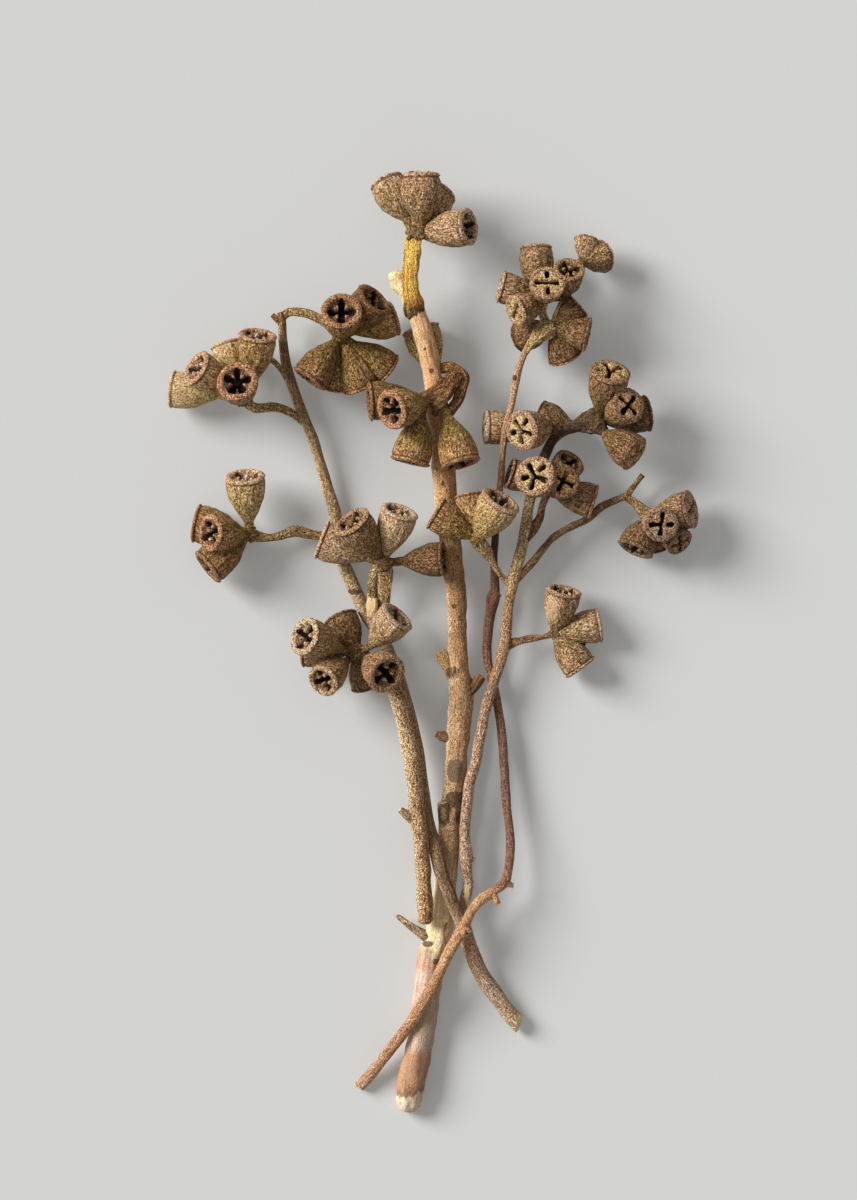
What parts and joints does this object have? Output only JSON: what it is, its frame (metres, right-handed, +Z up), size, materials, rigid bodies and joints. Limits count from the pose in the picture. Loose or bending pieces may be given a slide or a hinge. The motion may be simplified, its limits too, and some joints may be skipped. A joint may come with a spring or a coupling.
{
  "type": "dried eucalyptus bunch",
  "caption": "Sheaf of cut, dried blue gum branches with woody funnel-shaped gum nuts, lying flat.",
  "frame": {"origin": "under the middle of the sheaf's bounding box, on the surface that it lies on", "axes": "+Y from the cut ends towards the tips, +X to the right seen from above, +Z up off the surface"},
  "size_m": [0.1766, 0.3142, 0.0353],
  "materials": {
    "blond_bark": "satin",
    "speckled_bark": "matt",
    "dark_bark": "matt",
    "grey_bark": "matt",
    "red_bark": "matt",
    "olive_nut": "matt",
    "warm_nut": "matt",
    "grey_nut": "matt",
    "mauve_nut": "matt"
  },
  "bodies": {
    "root": {"main_stem": "blond_bark", "left_stem": "speckled_bark", "long_stem": "dark_bark", "middle_stem": "grey_bark", "slender_stem": "red_bark", "crown_nuts": "warm_nut", "hidden_nut": "olive_nut", "shoulder_nuts": "olive_nut", "upper_left_nuts": "olive_nut", "far_left_nuts": "olive_nut", "left_nuts": "olive_nut", "inner_left_nuts": "warm_nut", "lower_left_nuts": "warm_nut", "inner_middle_nuts": "olive_nut", "top_inner_nuts": "grey_nut", "top_right_nuts": "grey_nut", "top_middle_nuts": "grey_nut", "right_nuts": "mauve_nut", "lower_right_nuts": "warm_nut", "far_top_nuts": "warm_nut"}
  },
  "joints": []
}
